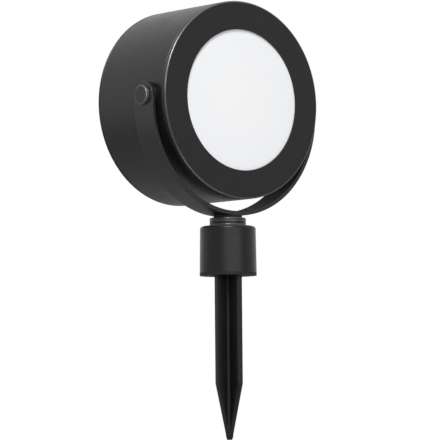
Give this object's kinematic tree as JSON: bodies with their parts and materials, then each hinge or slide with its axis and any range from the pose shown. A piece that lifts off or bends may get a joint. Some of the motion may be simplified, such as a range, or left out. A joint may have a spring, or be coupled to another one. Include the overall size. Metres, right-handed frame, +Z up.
{
  "type": "solar spike light",
  "caption": "Round garden spotlight head with an opal diffuser that tilts in a flat U-shaped yoke, swivels on a collar and stands on a finned ground spike.",
  "frame": {"origin": "ground level on the axis of the spike, at the underside of the flange that closes the collar's foot", "axes": "+Z up along the spike's axis, the light faces -Y at rest, X along the tilt axis"},
  "size_m": [0.1076, 0.0552, 0.2133],
  "materials": {
    "ring_paint": "fine satin powder coat, near black",
    "drum_paint": "fine satin powder coat, dark grey",
    "yoke_paint": "fine satin powder coat, dark grey",
    "pin_paint": "satin, dark grey",
    "stem_paint": "satin, dark grey",
    "opal": "opal, smooth",
    "white_plastic": "matt white",
    "silicone": "matt black",
    "diode": "phosphor yellow",
    "white_board": "white solder mask",
    "green_board": "green solder mask",
    "component": "black epoxy",
    "zinc_steel": "zinc plated",
    "black_steel": "blackened",
    "contact_metal": "nickel plated",
    "cell_sleeve": "shrink sleeve",
    "black_plastic": "moulded",
    "plunger_plastic": "moulded",
    "button_rubber": "soft matt",
    "clear_cover": "clear",
    "solar_wafer": "dark blue silicon",
    "red_wire": "PVC insulation",
    "black_wire": "PVC insulation",
    "nylon": "smooth nylon",
    "bush_plastic": "smooth nylon",
    "collar_plastic": "finely grained",
    "spike_plastic": "moulded, slight sheen"
  },
  "bodies": {
    "base": {"swivel_bush": "bush_plastic", "collar": "collar_plastic", "spike": "spike_plastic"},
    "yoke": {"yoke_strap": "yoke_paint", "yoke_screw": "black_steel", "swivel_stem": "stem_paint", "stem_washer": "zinc_steel", "stem_spring": "zinc_steel", "stem_nut": "zinc_steel"},
    "head": {"front_ring": "ring_paint", "diffuser": "opal", "diffuser_gasket": "silicone", "reflector": "white_plastic", "leds": "diode", "led_board": "white_board", "led_screws": "zinc_steel", "ring_gasket": "silicone", "ring_screws": "zinc_steel", "lamp_housing": "drum_paint", "battery_holder": "black_plastic", "holder_screws": "zinc_steel", "battery_contacts": "contact_metal", "battery_cell": "cell_sleeve", "control_board": "green_board", "board_parts": "component", "board_screws": "zinc_steel", "push_switch": "component", "rear_gasket": "silicone", "rear_cover": "ring_paint", "rear_screws": "black_steel", "panel_lens": "clear_cover", "solar_cells": "solar_wafer", "panel_board": "white_board", "plus_leads": "red_wire", "minus_leads": "black_wire", "pivot_pins": "pin_paint", "pivot_spacers": "nylon", "pivot_washers": "zinc_steel", "pivot_nuts": "zinc_steel"},
    "button": {"power_button": "button_rubber", "switch_plunger": "plunger_plastic"}
  },
  "joints": [
    {"name": "yoke_swivel", "type": "hinge", "parent": "base", "child": "yoke", "pos_m": [0, 0, 0.026], "axis": [0, 0, 1], "continuous": true},
    {"name": "head_tilt", "type": "hinge", "parent": "yoke", "child": "head", "pos_m": [0, 0, 0.08505], "axis": [1, 0, 0], "range_deg": [-18, 198]},
    {"name": "button_press", "type": "slide", "parent": "head", "child": "button", "axis": [0, -1, 0], "range_m": [0, 0.0008], "stiffness_N_per_m": 800, "springref_m": -0.001}
  ]
}
